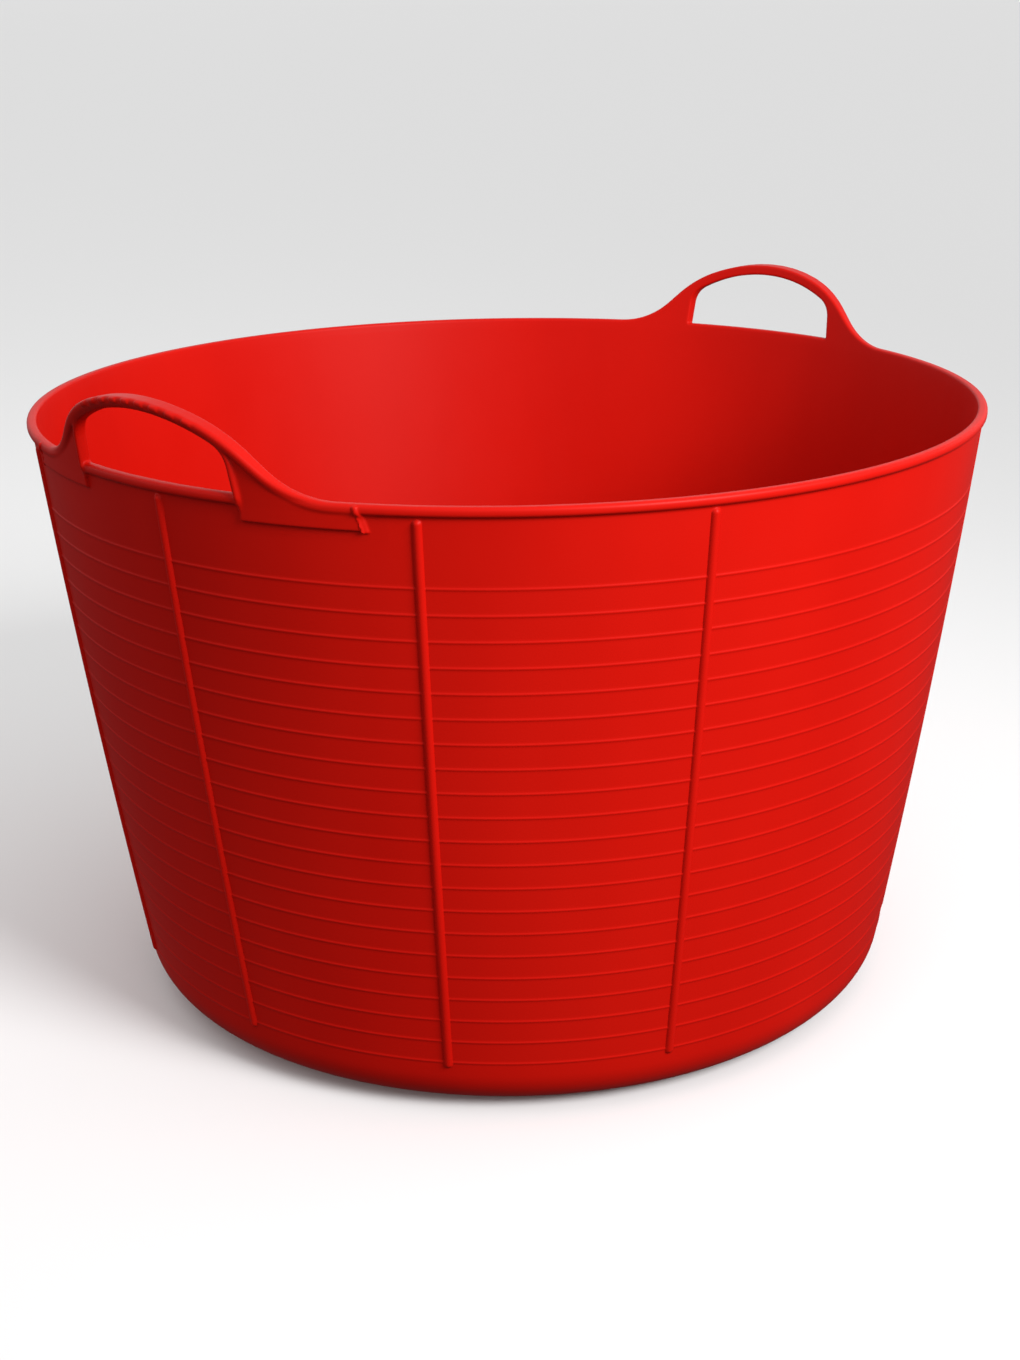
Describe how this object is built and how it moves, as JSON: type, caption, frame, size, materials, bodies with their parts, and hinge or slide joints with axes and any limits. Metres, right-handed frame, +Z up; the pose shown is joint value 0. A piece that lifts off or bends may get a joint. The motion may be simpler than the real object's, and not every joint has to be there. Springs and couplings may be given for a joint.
{
  "type": "flexible mixing tub",
  "caption": "Flexible two-handled plastic mixing tub with a tapered ribbed wall, a rolled rim and integral arched handles that bend on their legs.",
  "frame": {"origin": "On the tub's axis, on the ground plane under the foot ring.", "axes": "+Z is up along the tub's axis. The front handle is at -Y and the rear handle at +Y, so X runs across the tub between the handles."},
  "size_m": [0.58, 0.6034, 0.4136],
  "materials": {
    "red_flexible_plastic": "satin"
  },
  "bodies": {
    "tub": {"base_floor": "red_flexible_plastic", "base_corner": "red_flexible_plastic", "foot_ring": "red_flexible_plastic", "gate_mark": "red_flexible_plastic", "tub_wall": "red_flexible_plastic", "wall_hoops": "red_flexible_plastic", "wall_ribs": "red_flexible_plastic", "left_rim_lip": "red_flexible_plastic", "right_rim_lip": "red_flexible_plastic", "front_sill_lip": "red_flexible_plastic", "front_left_leg": "red_flexible_plastic", "front_right_leg": "red_flexible_plastic", "front_leg_lips": "red_flexible_plastic", "front_leg_edges": "red_flexible_plastic", "front_end_ticks": "red_flexible_plastic", "rear_sill_lip": "red_flexible_plastic", "rear_left_leg": "red_flexible_plastic", "rear_right_leg": "red_flexible_plastic", "rear_leg_lips": "red_flexible_plastic", "rear_leg_edges": "red_flexible_plastic", "rear_end_ticks": "red_flexible_plastic"},
    "front_handle": {"front_handle_web": "red_flexible_plastic", "front_handle_edge": "red_flexible_plastic", "front_handle_grip": "red_flexible_plastic", "front_handle_nubs": "red_flexible_plastic"},
    "rear_handle": {"rear_handle_web": "red_flexible_plastic", "rear_handle_edge": "red_flexible_plastic", "rear_handle_grip": "red_flexible_plastic", "rear_handle_nubs": "red_flexible_plastic"}
  },
  "joints": [
    {"name": "front_handle_flex", "type": "hinge", "parent": "tub", "child": "front_handle", "pos_m": [0, -0.283, 0.383], "axis": [-1, 0, 0], "range_deg": [-15, 40], "stiffness_Nm_per_rad": 4},
    {"name": "rear_handle_flex", "type": "hinge", "parent": "tub", "child": "rear_handle", "pos_m": [0, 0.283, 0.383], "axis": [1, 0, 0], "range_deg": [-15, 40], "stiffness_Nm_per_rad": 4}
  ]
}
